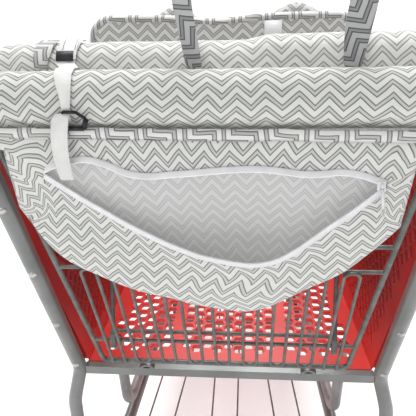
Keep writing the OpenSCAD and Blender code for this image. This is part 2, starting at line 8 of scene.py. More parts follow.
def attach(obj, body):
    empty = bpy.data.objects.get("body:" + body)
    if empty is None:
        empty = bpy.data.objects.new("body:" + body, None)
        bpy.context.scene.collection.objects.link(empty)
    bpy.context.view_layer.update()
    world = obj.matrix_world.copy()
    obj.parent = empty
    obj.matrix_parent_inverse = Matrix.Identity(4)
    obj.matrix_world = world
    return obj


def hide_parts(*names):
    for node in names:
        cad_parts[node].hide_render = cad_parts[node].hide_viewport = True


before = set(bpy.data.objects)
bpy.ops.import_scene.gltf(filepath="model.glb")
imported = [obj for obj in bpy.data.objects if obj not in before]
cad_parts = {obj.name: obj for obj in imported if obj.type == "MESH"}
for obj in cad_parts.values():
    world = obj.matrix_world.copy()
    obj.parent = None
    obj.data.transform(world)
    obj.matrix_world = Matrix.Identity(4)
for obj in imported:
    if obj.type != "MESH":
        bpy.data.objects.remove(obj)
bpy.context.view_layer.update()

# The studio: a pale floor, a big soft lamp over the front of the cart, a smaller one behind the
# pusher, and a camera where the pusher's head is, looking down and forward over the handle.
FOOT = -0.3211  # y of the foot of the uprights
camera = bpy.data.objects.new("camera", bpy.data.cameras.new("camera"))
bpy.context.collection.objects.link(camera)
pitch, yaw, roll = math.radians(30.42), math.radians(5.23), math.radians(2.16)
ahead = Vector((-math.sin(yaw) * math.cos(pitch), math.cos(yaw) * math.cos(pitch), -math.sin(pitch)))
level = Vector((math.cos(yaw), math.sin(yaw), 0))
under = ahead.cross(level)
right = level * math.cos(roll) + under * math.sin(roll)
down = under * math.cos(roll) - level * math.sin(roll)
camera.matrix_world = Matrix.Translation((0.038, FOOT - 0.676, 1.185)) @ Matrix(
    (right, -down, -ahead)
).transposed().to_4x4()
camera.data.lens = 44.57
camera.data.sensor_width = 36
camera.data.clip_start = 0.02
bpy.context.scene.camera = camera
bpy.context.scene.view_settings.view_transform = "Standard"

world = bpy.data.worlds.new("studio")
bpy.context.scene.world = world
world.use_nodes = True
world.node_tree.nodes["Background"].inputs["Strength"].default_value = 0.68
towards = world.node_tree.nodes.new("ShaderNodeTexCoord")
height = world.node_tree.nodes.new("ShaderNodeSeparateXYZ")
walls = world.node_tree.nodes.new("ShaderNodeValToRGB")
world.node_tree.links.new(towards.outputs["Generated"], height.inputs["Vector"])
world.node_tree.links.new(height.outputs["Z"], walls.inputs["Fac"])
world.node_tree.links.new(
    walls.outputs["Color"], world.node_tree.nodes["Background"].inputs["Color"]
)
walls.color_ramp.elements[0].position, walls.color_ramp.elements[0].color = 0.0, (0.68, 0.68, 0.69, 1)
walls.color_ramp.elements[1].position, walls.color_ramp.elements[1].color = 0.55, (1, 1, 1, 1)
walls.color_ramp.elements.new(0.22).color = (0.70, 0.70, 0.71, 1)


def lamp(name, place, aim, size, power):
    light = bpy.data.lights.new(name, "AREA")
    light.size = size
    light.energy = power
    holder = bpy.data.objects.new(name, light)
    holder.matrix_world = Matrix.Translation(place) @ (
        Vector(place) - Vector(aim)
    ).to_track_quat("Z", "Y").to_matrix().to_4x4()
    bpy.context.collection.objects.link(holder)


lamp("lamp_over_front", (0.5, 1.3, 3.0), (0, 0.1, 0.6), 1.6, 40)
lamp("lamp_behind_pusher", (-0.9, -2.6, 2.3), (0, -0.4, 0.8), 1.8, 14)
sky = bpy.data.objects.new("soft_ceiling", bpy.data.lights.new("soft_ceiling", "SUN"))
sky.data.energy = 1.5
sky.data.angle = math.radians(35)
sky.rotation_euler = (math.radians(-24), math.radians(-12), 0)
bpy.context.collection.objects.link(sky)


def material(name, colour, roughness, metallic=0.0, sheen=0.0):
    """A material whose colour, roughness and bump the caller links; returns it and its nodes."""
    mat = bpy.data.materials.new(name)
    mat.use_nodes = True
    nodes, links = mat.node_tree.nodes, mat.node_tree.links
    skin = nodes["Principled BSDF"]
    skin.inputs["Base Color"].default_value = (*colour, 1)
    skin.inputs["Roughness"].default_value = roughness
    skin.inputs["Metallic"].default_value = metallic
    skin.inputs["Sheen Weight"].default_value = sheen
    return mat, nodes, links, skin


def mottled(name, light, dark, scale, roughness, bump, bump_scale, metallic=0.0, sheen=0.0):
    """Colour drifting between two tones, with a fine raised grain."""
    mat, nodes, links, skin = material(name, light, roughness, metallic, sheen)
    place = nodes.new("ShaderNodeTexCoord")
    drift = nodes.new("ShaderNodeTexNoise")
    drift.inputs["Scale"].default_value = scale
    drift.inputs["Detail"].default_value = 5
    links.new(place.outputs["Object"], drift.inputs["Vector"])
    tone = nodes.new("ShaderNodeValToRGB")
    tone.color_ramp.elements[0].position = 0.35
    tone.color_ramp.elements[0].color = (*dark, 1)
    tone.color_ramp.elements[1].position = 0.65
    tone.color_ramp.elements[1].color = (*light, 1)
    links.new(drift.outputs["Fac"], tone.inputs["Fac"])
    links.new(tone.outputs["Color"], skin.inputs["Base Color"])
    grain = nodes.new("ShaderNodeTexNoise")
    grain.inputs["Scale"].default_value = bump_scale
    grain.inputs["Detail"].default_value = 3
    links.new(place.outputs["Object"], grain.inputs["Vector"])
    raised = nodes.new("ShaderNodeBump")
    raised.inputs["Strength"].default_value = bump
    raised.inputs["Distance"].default_value = 0.0006
    links.new(grain.outputs["Fac"], raised.inputs["Height"])
    links.new(raised.outputs["Normal"], skin.inputs["Normal"])
    return mat


def paint_nodes(mat, *names):
    """Gives CAD nodes that keep their shape this material."""
    for name in names:
        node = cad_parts[name]
        node.data.materials.clear()
        node.data.materials.append(mat)


bm = bmesh.new()
bmesh.ops.create_grid(bm, x_segments=2, y_segments=2, size=12)
ground = bpy.data.objects.new("studio_floor", bpy.data.meshes.new("studio_floor"))
bm.to_mesh(ground.data)
bm.free()
bpy.context.collection.objects.link(ground)
pale_floor = mottled("pale_floor", (0.94, 0.94, 0.94), (0.92, 0.92, 0.92), 1.5, 0.9, 0.05, 60)
pale_floor.node_tree.nodes["Principled BSDF"].inputs["Emission Color"].default_value = (1, 1, 1, 1)
pale_floor.node_tree.nodes["Principled BSDF"].inputs["Emission Strength"].default_value = 0.22
ground.data.materials.append(pale_floor)

# Frame tubes: bent steel tube in silver-grey powder coat, welded at the crossbar and the rails.
# The coat is slightly uneven, and has a fine orange-peel surface.
tube_coat = mottled(
    "silver_powder_coat", (0.225, 0.237, 0.230), (0.170, 0.180, 0.174), 14, 0.30, 0.35, 900, 0.5
)
paint_nodes(
    tube_coat, "frame_side_left", "frame_side_right", "rear_crossbar", "handle_tube",
    "gate_hinge_rod", "chassis_rail_left", "chassis_rail_right", "chassis_front_tube",
    "chassis_cross_tubes", "front_support_left", "front_support_right", "swivel_sockets",
)  # fmt: skip
rail_coat = mottled(
    "worn_rail_coat", (0.30, 0.30, 0.30), (0.19, 0.185, 0.185), 22, 0.42, 0.4, 700, 0.3
)
paint_nodes(rail_coat, "rack_rail_left", "rack_rail_right")
wire_coat = mottled(
    "gate_wire_coat", (0.165, 0.178, 0.162), (0.095, 0.103, 0.095), 55, 0.34, 0.4, 1200, 0.3
)
paint_nodes(wire_coat, "gate_grille", "gate_leg_frame", "seat_back_frame", "seat_back_wires")
rack_steel = mottled(
    "rack_wire_steel", (0.22, 0.19, 0.175), (0.12, 0.10, 0.095), 60, 0.5, 0.5, 900, 0.35
)
paint_nodes(rack_steel, "rack_wires")

# Casters and rivets: zinc-plated pressed forks and bolts, grey nylon hubs and grey rubber tyres,
# with bright domed rivets up both uprights.
zinc = mottled("zinc_plate", (0.50, 0.50, 0.49), (0.33, 0.33, 0.33), 45, 0.28, 0.3, 500, 0.95)
paint_nodes(
    zinc, "rear_fork_left", "rear_fork_right", "rear_axles", "front_fork_left",
    "front_fork_right", "front_axle_left", "front_axle_right", "basket_rivets",
)  # fmt: skip
hub_nylon = mottled("hub_nylon", (0.21, 0.22, 0.23), (0.15, 0.155, 0.16), 30, 0.5, 0.4, 600)
rubber = mottled("tyre_rubber", (0.075, 0.076, 0.08), (0.045, 0.046, 0.05), 40, 0.75, 0.8, 700)
for end in ("front_left", "front_right", "rear_left", "rear_right"):
    paint_nodes(hub_nylon, "hub_" + end)
    paint_nodes(rubber, "tyre_" + end)

# Handle grip: a red plastic tube pressed over the handle, hidden inside the padded roll.
grip_red = mottled("grip_red_plastic", (0.42, 0.03, 0.03), (0.34, 0.02, 0.02), 20, 0.4, 0.3, 500)
paint_nodes(grip_red, "handle_grip")

# Basket: one red moulding. Its floor is a deep honeycomb with two plain strips, its walls are
# pressed with slanting lozenges between plain borders, and a rim and two rear flanges stiffen it.
FLOOR_Z = 0.440
basket_red = mottled("basket_red_plastic", (0.80, 0.044, 0.034), (0.68, 0.030, 0.024), 9, 0.36, 0.25, 420)
nodes, links = basket_red.node_tree.nodes, basket_red.node_tree.links
wall_shade_ramp = nodes.new("ShaderNodeMapRange")  # painted shade: the red is multiplied darker with height, so the walls read as shaded beside the floor
for socket, value in zip(wall_shade_ramp.inputs[1:5], (0.452, 0.60, 0.0, 1.0)):
    socket.default_value = value
place, height = nodes.new("ShaderNodeTexCoord"), nodes.new("ShaderNodeSeparateXYZ")
links.new(place.outputs["Object"], height.inputs["Vector"])
links.new(height.outputs["Z"], wall_shade_ramp.inputs["Value"])
# painted shade on the walls: the red is multiplied towards a dark grey-blue above the floor
painted_wall_shade = nodes.new("ShaderNodeMix")
painted_wall_shade.data_type, painted_wall_shade.blend_type = "RGBA", "MULTIPLY"
painted_wall_shade.inputs["B"].default_value = (0.52, 0.62, 0.75, 1)
links.new(wall_shade_ramp.outputs["Result"], painted_wall_shade.inputs["Factor"])
links.new(nodes["Color Ramp"].outputs["Color"], painted_wall_shade.inputs["A"])
links.new(painted_wall_shade.outputs["Result"], nodes["Principled BSDF"].inputs["Base Color"])


def half_w(y, z):
    return 0.266 - 0.095 * (y - FOOT) + 0.02 * (z - FLOOR_Z)


def make_piece(name, bm, mat, body, slot, *nodes, smooth=True):
    """Turns a bmesh into a piece that rides on a body and stands for CAD nodes."""
    mesh = bpy.data.meshes.new(name)
    bm.to_mesh(mesh)
    bm.free()
    for face in mesh.polygons:
        face.use_smooth = smooth
    obj = bpy.data.objects.new(name, mesh)
    bpy.context.collection.objects.link(obj)
    mesh.materials.append(mat)
    if nodes:
        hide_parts(*nodes)
    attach(obj, body)
    return obj


def thicken(obj, depth, offset=1.0, bevel=0.0):
    """Gives a sheet its wall thickness and soft edges."""
    wall = obj.modifiers.new("wall", "SOLIDIFY")
    wall.thickness = depth
    wall.offset = offset
    wall.use_even_offset = True
    if bevel:
        edge = obj.modifiers.new("edge", "BEVEL")
        edge.width = bevel
        edge.segments = 2
        edge.limit_method = "ANGLE"
        edge.angle_limit = math.radians(50)


# whole hexagons tile the floor and are trimmed to it; those away from the edges are opened
HEX_R = 0.0136
HEX_ROW = HEX_R * math.sqrt(3)
bm = bmesh.new()
for column in range(-20, 21):
    for row in range(-1, 34):
        x, y = column * HEX_R * 1.5, FOOT + 0.012 + (row + (column % 2) / 2) * HEX_ROW
        bmesh.ops.create_circle(
            bm, cap_ends=True, radius=HEX_R, segments=6,
            matrix=Matrix.Translation((x, y, FLOOR_Z)) @ Matrix.Rotation(math.radians(30), 4, "Z"),
        )  # fmt: skip
bmesh.ops.remove_doubles(bm, verts=bm.verts, dist=0.0005)
for corner, outward in (
    ((0, FOOT + 0.008, 0), (0, -1, 0)),
    ((0, FOOT + 0.762, 0), (0, 1, 0)),
    ((half_w(FOOT, FLOOR_Z) + 0.001, FOOT, 0), (1, 0.095, 0)),
    ((-half_w(FOOT, FLOOR_Z) - 0.001, FOOT, 0), (-1, 0.095, 0)),
):
    bmesh.ops.bisect_plane(
        bm, geom=bm.verts[:] + bm.edges[:] + bm.faces[:], plane_co=corner, plane_no=outward,
        clear_outer=True,
    )  # fmt: skip
cells = []
for face in bm.faces:
    middle = face.calc_center_median()
    strip = abs(abs(middle.x) - 5 * HEX_R * 1.5) < 0.005
    inside = abs(middle.x) < half_w(middle.y, FLOOR_Z) - 0.030
    if inside and not strip and FOOT + 0.045 < middle.y < FOOT + 0.725 and len(face.verts) == 6:
        cells.append(face)
bmesh.ops.inset_individual(bm, faces=cells, thickness=0.0030)
bmesh.ops.delete(bm, geom=cells, context="FACES_ONLY")
bmesh.ops.recalc_face_normals(bm, faces=bm.faces)
bmesh.ops.solidify(bm, geom=bm.faces[:], thickness=0.010)
for vert in bm.verts:
    vert.co.z = FLOOR_Z if vert.co.z > FLOOR_Z - 0.002 and vert.co.z < FLOOR_Z + 0.002 else FLOOR_Z - 0.010
basket_mesh = bpy.data.meshes.new("basket_shell")
bm.to_mesh(basket_mesh)
bm.free()


def lozenge_wall(place, low, high, border):
    """A wall drawn as (along, up) and put in place by place(); lozenges are pressed into it."""
    bm = bmesh.new()
    bmesh.ops.create_grid(bm, x_segments=64, y_segments=64, size=0.58)
    bmesh.ops.rotate(bm, verts=bm.verts, cent=(0, 0, 0), matrix=Matrix.Rotation(math.radians(45), 3, "Z"))
    bmesh.ops.scale(bm, verts=bm.verts, vec=(0.93, 1.22, 1))
    middle = ((low(0)[0] + high(1)[0]) / 2, (low(0)[1] + high(1)[1]) / 2)
    bmesh.ops.translate(bm, verts=bm.verts, vec=(*middle, 0))
    corners = [low(0), low(1), high(1), high(0)]
    for i in range(4):
        (ax, az), (bx, bz) = corners[i], corners[(i + 1) % 4]
        bmesh.ops.bisect_plane(
            bm, geom=bm.verts[:] + bm.edges[:] + bm.faces[:], plane_co=(ax, az, 0),
            plane_no=(bz - az, ax - bx, 0), clear_outer=True,
        )  # fmt: skip
    pressed = []
    for face in bm.faces:
        p = face.calc_center_median()
        far = min(
            ((bx - ax) * (p.y - az) - (bz - az) * (p.x - ax)) / math.hypot(bx - ax, bz - az)
            for (ax, az), (bx, bz) in (
                (corners[i], corners[(i + 1) % 4]) for i in range(4)
            )
        )
        if far > border:
            pressed.append(face)
    bmesh.ops.inset_individual(bm, faces=pressed, thickness=0.0028, depth=0)
    edges = {vert for face in pressed for vert in face.verts}
    for vert in bm.verts:
        vert.co = place(vert.co.x, vert.co.y, 0.0035 if vert in edges else 0.0)
    return bm


def add_sheet(bm, thickness):
    """Gives a sheet its thickness and adds it to the basket."""
    bmesh.ops.recalc_face_normals(bm, faces=bm.faces)
    bmesh.ops.solidify(bm, geom=bm.faces[:], thickness=thickness)
    bm.from_mesh(basket_mesh)
    bm.to_mesh(basket_mesh)
    bm.free()


rear_y = (FOOT + 0.0113, FOOT - 0.1200)
front_y = (FOOT + 0.762, FOOT + 0.828)
for side in (-1, 1):
    add_sheet(
        lozenge_wall(
            lambda y, z, out: Vector((side * (half_w(y, z) + 0.001 + out), y, z)),
            lambda t: (rear_y[0] + t * (front_y[0] - rear_y[0]), FLOOR_Z - 0.004),
            lambda t: (rear_y[1] + t * (front_y[1] - rear_y[1]), 0.929 - t * 0.050),
            0.034,
        ),
        0.002,
    )
add_sheet(
    lozenge_wall(
        lambda x, z, out: Vector(
            (x, front_y[0] + (z - FLOOR_Z) * (front_y[1] - front_y[0]) / 0.44 - 0.003 + out, z)
        ),
        lambda t: ((2 * t - 1) * half_w(front_y[0], FLOOR_Z), FLOOR_Z - 0.004),
        lambda t: ((2 * t - 1) * half_w(front_y[1], 0.879), 0.879),
        0.030,
    ),
    0.002,
)


def sweep(bm, outline, stations, cap=True):
    """Draws a closed outline of (a, b) offsets along stations of (centre, a axis, b axis)."""
    def at(station):
        centre, a_axis, b_axis = (Vector(v) for v in station)
        return [centre + a_axis * a + b_axis * b for a, b in outline]

    ring = [bm.verts.new(p) for p in at(stations[0])]
    edges = [bm.edges.new((ring[i - 1], ring[i])) for i in range(len(ring))]
    first = edges[:]
    for station in stations[1:]:
        made = bmesh.ops.extrude_edge_only(bm, edges=edges)["geom"]
        fresh = [g for g in made if isinstance(g, bmesh.types.BMVert)]
        targets = at(station)
        for vert in fresh:
            near = min(range(len(ring)), key=lambda i: (ring[i].co - vert.co).length)
            vert.co = targets[near]
            vert.tag = True
        order = [None] * len(ring)
        for vert in fresh:
            order[min(range(len(ring)), key=lambda i: (targets[i] - vert.co).length)] = vert
        ring = order
        edges = [g for g in made if isinstance(g, bmesh.types.BMEdge) and all(v in fresh for v in g.verts)]
    if cap:
        bmesh.ops.holes_fill(bm, edges=first + edges, sides=len(outline))
    bmesh.ops.recalc_face_normals(bm, faces=bm.faces)


def rounded_bar(w, t, r=0.35):
    """The outline of a flat bar with rounded edges."""
    k = t * r
    return [
        (-w / 2 + k, -t / 2), (w / 2 - k, -t / 2), (w / 2, -t / 2 + k), (w / 2, t / 2 - k),
        (w / 2 - k, t / 2), (-w / 2 + k, t / 2), (-w / 2, t / 2 - k), (-w / 2, -t / 2 + k),
    ]  # fmt: skip


# rim round three sides, and the flange up each side behind which the rivets hold
bm = bmesh.new()
rim_path = [
    (-1, rear_y[1], 0.924), (-1, FOOT + 0.829, 0.874), (1, FOOT + 0.829, 0.874), (1, rear_y[1], 0.924)
]
rim = [Vector((s * (half_w(y, z) + 0.0085), y, z)) for s, y, z in rim_path]
sweep(
    bm, rounded_bar(0.0125, 0.009),
    [
        (rim[0], (1, 0, 0), (0, 0, 1)), (rim[1], (1, -1, 0), (0, 0, 1)),
        (rim[2], (1, 1, 0), (0, 0, 1)), (rim[3], (1, 0, 0), (0, 0, 1)),
    ],
)  # fmt: skip
LEAN = math.radians(15)


def up_y(z, off=0.0):
    return FOOT - (z - 0.430) * math.tan(LEAN) + off / math.cos(LEAN)


for side in (-1, 1):
    stations = []
    for z in (0.442, 0.915):
        inner = half_w(up_y(z, 0.016), z)
        stations.append(
            (
                (side * (inner + 0.2915) / 2, up_y(z, 0.0155), z),
                (0.2915 - inner, 0, 0),
                (0, math.cos(LEAN), math.sin(LEAN)),
            )
        )
    sweep(bm, [(a, b) for a, b in ((-0.5, -0.0018), (0.5, -0.0018), (0.5, 0.0018), (-0.5, 0.0018))], stations)
bm.from_mesh(basket_mesh)
make_piece("basket_shell", bm, basket_red, "cart", "basket_red", "basket", smooth=False)
paint_nodes(basket_red, "seat_plate")

# Handle roll: printed cotton wrapped and seamed round thick wadding over the grip. It is puffed
# up like a stuffed tube, slack at the left where the strap pulls it in.
HANDLE_Y, HANDLE_Z = up_y(1.010), 1.010


def print_cloth(name, ground, line, between, turn=0.0, wrinkle=0.35, zig=0.0300, row=0.0139, steep=0.93):
    """Cotton printed with zigzags: each row is a pair of thin lines on a pale ground."""
    mat, nodes, links, skin = material(name, ground, 0.85, sheen=0.25)

    def math_node(operation, a, b=0.0, c=0.0):
        node = nodes.new("ShaderNodeMath")
        node.operation = operation
        for socket, value in zip(node.inputs, (a, b, c)):
            if isinstance(value, float):
                socket.default_value = value
            else:
                links.new(value, socket)
        return node.outputs[0]

    cloth = nodes.new("ShaderNodeUVMap")
    cloth.uv_map = "cloth"
    turned = nodes.new("ShaderNodeMapping")
    turned.inputs["Rotation"].default_value[2] = turn
    links.new(cloth.outputs["UV"], turned.inputs["Vector"])
    place = nodes.new("ShaderNodeTexCoord")
    pull = nodes.new("ShaderNodeTexNoise")
    pull.inputs["Scale"].default_value = 16
    pull.inputs["Detail"].default_value = 2
    links.new(place.outputs["Object"], pull.inputs["Vector"])
    pulled = nodes.new("ShaderNodeVectorMath")
    pulled.operation = "MULTIPLY_ADD"
    links.new(pull.outputs["Color"], pulled.inputs[0])
    pulled.inputs[1].default_value = (0.009, 0.009, 0)
    links.new(turned.outputs["Vector"], pulled.inputs[2])
    axes = nodes.new("ShaderNodeSeparateXYZ")
    links.new(pulled.outputs["Vector"], axes.inputs["Vector"])
    zigzag = math_node("PINGPONG", axes.outputs["X"], zig / 2)
    height = math_node("MULTIPLY_ADD", zigzag, steep, axes.outputs["Y"])
    phase = math_node("FRACT", math_node("DIVIDE", height, row))
    stripes = nodes.new("ShaderNodeValToRGB")
    ramp = stripes.color_ramp
    ramp.elements[0].position, ramp.elements[0].color = 0.0, (*ground, 1)
    ramp.elements[1].position, ramp.elements[1].color = 0.365, (*ground, 1)
    for at, tone in (
        (0.405, line), (0.485, line), (0.535, between), (0.735, between), (0.785, line),
        (0.865, line), (0.905, ground),
    ):  # fmt: skip
        ramp.elements.new(at).color = (*tone, 1)
    links.new(phase, stripes.inputs["Fac"])
    age = nodes.new("ShaderNodeTexNoise")
    age.inputs["Scale"].default_value = 7
    age.inputs["Detail"].default_value = 6
    links.new(place.outputs["Object"], age.inputs["Vector"])
    soil = nodes.new("ShaderNodeMix")
    soil.data_type = "RGBA"
    soil.blend_type = "MULTIPLY"
    links.new(math_node("MULTIPLY", age.outputs["Fac"], 0.16), soil.inputs["Factor"])
    links.new(stripes.outputs["Color"], soil.inputs["A"])
    soil.inputs["B"].default_value = (0.72, 0.72, 0.70, 1)
    links.new(soil.outputs["Result"], skin.inputs["Base Color"])
    creases = nodes.new("ShaderNodeTexNoise")
    creases.inputs["Scale"].default_value = 24
    creases.inputs["Detail"].default_value = 4
    links.new(place.outputs["Object"], creases.inputs["Vector"])
    crumpled = nodes.new("ShaderNodeBump")
    crumpled.inputs["Strength"].default_value = wrinkle
    crumpled.inputs["Distance"].default_value = 0.006
    links.new(creases.outputs["Fac"], crumpled.inputs["Height"])
    weave_in, weave_out = axes.outputs["X"], axes.outputs["Y"]
    warp = math_node("SINE", math_node("MULTIPLY", weave_in, 9000.0))
    weft = math_node("SINE", math_node("MULTIPLY", weave_out, 9000.0))
    thread = nodes.new("ShaderNodeBump")
    thread.inputs["Strength"].default_value = 0.25
    thread.inputs["Distance"].default_value = 0.0002
    links.new(math_node("MULTIPLY", warp, weft), thread.inputs["Height"])
    links.new(crumpled.outputs["Normal"], thread.inputs["Normal"])
    links.new(thread.outputs["Normal"], skin.inputs["Normal"])
    return mat


GROUND, LINE, BETWEEN = (0.71, 0.715, 0.69), (0.170, 0.175, 0.160), (0.55, 0.56, 0.535)
print_front = print_cloth("zigzag_cotton", GROUND, LINE, BETWEEN)
print_bias = print_cloth(
    "zigzag_cotton_bias", (0.74, 0.74, 0.72), (0.16, 0.165, 0.16), (0.48, 0.485, 0.48), math.radians(45), 0.2
)


def lay_cloth(obj, where, around=None):
    """Lays the print on a piece: where(point) gives the place on the cloth, in metres; around is
    the distance after which that place repeats round a tube."""
    layer = obj.data.uv_layers.new(name="cloth")
    for face in obj.data.polygons:
        spots = [list(where(obj.data.vertices[obj.data.loops[i].vertex_index].co)) for i in face.loop_indices]
        if around:
            for spot in spots:
                if spots[0][1] - spot[1] > around / 2:
                    spot[1] += around
                elif spot[1] - spots[0][1] > around / 2:
                    spot[1] -= around
        for i, spot in zip(face.loop_indices, spots):
            layer.data[i].uv = spot


def as_object(bm):
    mesh = bpy.data.meshes.new("work")
    bm.to_mesh(mesh)
    bm.free()
    obj = bpy.data.objects.new("work", mesh)
    bpy.context.collection.objects.link(obj)
    return obj


def settled(obj):
    """The object's mesh with its modifiers applied."""
    graph = bpy.context.evaluated_depsgraph_get()
    return bpy.data.meshes.new_from_object(obj.evaluated_get(graph), depsgraph=graph)


def puff(bm, voxel, cap, pressure=4.0):
    """Swells a closed shape like a stuffed cloth bag, moving no point further than cap."""
    obj = as_object(bm)
    remesh = obj.modifiers.new("remesh", "REMESH")
    remesh.mode = "VOXEL"
    remesh.voxel_size = voxel
    obj.data = settled(obj)
    obj.modifiers.clear()
    start = [vert.co.copy() for vert in obj.data.vertices]
    cloth = obj.modifiers.new("cloth", "CLOTH")
    cloth.settings.quality = 4
    cloth.settings.mass = 0.25
    cloth.settings.tension_stiffness = 8
    cloth.settings.compression_stiffness = 8
    cloth.settings.bending_stiffness = 0.6
    cloth.settings.use_pressure = True
    cloth.settings.uniform_pressure_force = pressure
    cloth.settings.effector_weights.gravity = 0
    for frame_number in range(1, 21):
        bpy.context.scene.frame_set(frame_number)
    swollen = settled(obj)
    obj.modifiers.clear()
    for vert, was, now in zip(obj.data.vertices, start, swollen.vertices):
        move = now.co - was
        vert.co = was + move * min(1, cap / max(move.length, 1e-9))
    bpy.context.scene.frame_set(1)
    finer = obj.modifiers.new("finer", "SUBSURF")
    finer.levels = finer.render_levels = 1
    bm = bmesh.new()
    bm.from_mesh(settled(obj))
    bpy.data.objects.remove(obj)
    return bm


def stuffed_tube(centre_y, centre_z, radius, half, end_radius, lump, seed):
    """A roll along X, with drawn-in ends and the slight lumps of its wadding."""
    bm = bmesh.new()
    steps = 60
    line = [bm.verts.new((-half, centre_y, centre_z))]
    for i in range(steps + 1):
        x = -half + 2 * half * i / steps
        tip = min(1, (half - abs(x)) / 0.022)
        r = end_radius + (radius - end_radius) * math.sqrt(max(0, 1 - (1 - tip) ** 2))
        line.append(bm.verts.new((x, centre_y, centre_z + r)))
    line.append(bm.verts.new((half, centre_y, centre_z)))
    edges = [bm.edges.new(pair) for pair in zip(line, line[1:])]
    bmesh.ops.spin(
        bm, geom=line + edges, cent=(0, centre_y, centre_z), axis=(1, 0, 0), steps=48,
        angle=math.tau, use_merge=True, use_duplicate=False,
    )  # fmt: skip
    bmesh.ops.remove_doubles(bm, verts=bm.verts, dist=0.0002)
    bmesh.ops.recalc_face_normals(bm, faces=bm.faces)
    axis = Vector((0, centre_y, centre_z))
    for vert in bm.verts:
        out = Vector((0, vert.co.y, vert.co.z)) - axis
        if out.length > 0.01:
            wave = noise.noise(vert.co * 16 + Vector((seed, 0, 0))) + 0.5 * noise.noise(vert.co * 45)
            vert.co += out.normalized() * lump * wave
    return bm


def round_place(centre_y, centre_z, radius):
    def place(p):
        twist = 0.45 * max(0, -0.175 - p.x) ** 1.2
        return p.x, radius * math.atan2(p.y - centre_y, p.z - centre_z) + twist

    return place


def wrinkled(bm, folds):
    """Presses shallow folds into cloth: each is (centre, direction along it, length, width, depth)."""
    for centre, along, length, width, depth in folds:
        centre, along = Vector(centre), Vector(along).normalized()
        for vert in bm.verts:
            away = vert.co - centre
            on = away.dot(along)
            off = (away - along * on).length
            if abs(on) < length and off < 3 * width:
                vert.co -= vert.normal * depth * math.exp(-((off / width) ** 2)) * (1 - (on / length) ** 2)


bm = puff(stuffed_tube(HANDLE_Y, HANDLE_Z, 0.0315, 0.246, 0.0135, 0.0012, 3.0), 0.005, 0.0025)
wrinkled(
    bm,
    [
        ((-0.20, HANDLE_Y - 0.026, 0.992), (1, 0, -0.5), 0.05, 0.004, 0.003),
        ((-0.17, HANDLE_Y - 0.030, 0.998), (1, 0, -0.9), 0.04, 0.003, 0.002),
        ((-0.09, HANDLE_Y - 0.030, 0.995), (1, 0, 0.35), 0.05, 0.004, 0.0018),
        ((0.05, HANDLE_Y - 0.030, 0.994), (1, 0, -0.2), 0.07, 0.004, 0.0015),
        ((0.16, HANDLE_Y - 0.026, 0.990), (1, 0, 0.4), 0.05, 0.004, 0.002),
    ],
)
handle_roll = make_piece("padded_handle_roll", bm, print_front, "cart", "cover_print", "cover_handle_roll")
lay_cloth(handle_roll, round_place(HANDLE_Y, HANDLE_Z, 0.033), 0.033 * math.tau)

# Second roll: the same stuffed tube on the seat side of the handle, a little slimmer and softer.
TOP_Y, TOP_Z = FOOT - 0.095, 1.030
# Its print is a lighter copy of the handle roll's cotton: painted light, for the brighter light on this roll.
print_painted_lit = print_cloth("zigzag_cotton_painted_lit", (0.80, 0.80, 0.78), (0.29, 0.29, 0.27), (0.66, 0.665, 0.64))
bm = puff(stuffed_tube(TOP_Y, TOP_Z, 0.0265, 0.256, 0.006, 0.0016, 9.0), 0.005, 0.0022)
for vert in bm.verts:
    fuller = min(1, max(0, (vert.co.x - 0.030) / 0.035)) * min(1, max(0, (vert.co.z - TOP_Z) / 0.02))
    vert.co.z += 0.0065 * fuller * fuller * (3 - 2 * fuller)
top_roll = make_piece("padded_top_roll", bm, print_painted_lit, "cart", "cover_print", "cover_top_roll")
lay_cloth(top_roll, round_place(TOP_Y, TOP_Z, 0.028), 0.028 * math.tau)

# Pocket: one panel of the print hangs from the handle roll and is cut across by the zip. Its
# front sags open, and its lower edge curves up at both ends where it is seamed to the lining.
HEM = [
    (-0.236, 0.880), (-0.228, 0.861), (-0.219, 0.8355), (-0.2095, 0.816), (-0.196, 0.798),
    (-0.181, 0.785), (-0.1555, 0.769), (-0.1325, 0.755), (-0.102, 0.741), (-0.0635, 0.730),
    (-0.037, 0.720), (-0.016, 0.7155), (0.0315, 0.708), (0.060, 0.715), (0.082, 0.729),
    (0.113, 0.7525), (0.139, 0.7695), (0.1615, 0.788), (0.182, 0.813), (0.195, 0.830),
    (0.2135, 0.8565),
]  # fmt: skip
ZIP_TOP = [
    (-0.190, 0.935), (-0.174, 0.943), (-0.152, 0.949), (-0.140, 0.951), (-0.128, 0.949),
    (-0.114, 0.944), (-0.103, 0.938), (-0.089, 0.933), (-0.067, 0.931), (-0.045, 0.934),
    (-0.006, 0.938), (0.023, 0.940), (0.048, 0.941), (0.072, 0.938), (0.093, 0.9345),
    (0.114, 0.9345), (0.135, 0.936), (0.156, 0.932), (0.183, 0.922),
]  # fmt: skip
ZIP_LOW = [
    (-0.190, 0.933), (-0.168, 0.916), (-0.140, 0.896), (-0.112, 0.877), (-0.082, 0.857),
    (-0.052, 0.841), (-0.021, 0.827), (0.003, 0.821), (0.022, 0.817), (0.045, 0.8145),
    (0.069, 0.8195), (0.092, 0.835), (0.113, 0.854), (0.134, 0.875), (0.154, 0.893),
    (0.183, 0.920),
]  # fmt: skip
LEFT_SIDE = [(0, 0.230), (0.3, 0.234), (0.6, 0.235), (1, 0.236)]
RIGHT_SIDE = [(0, 0.224), (0.3, 0.217), (0.6, 0.215), (1, 0.2135)]
POCKET_TOP = 0.984


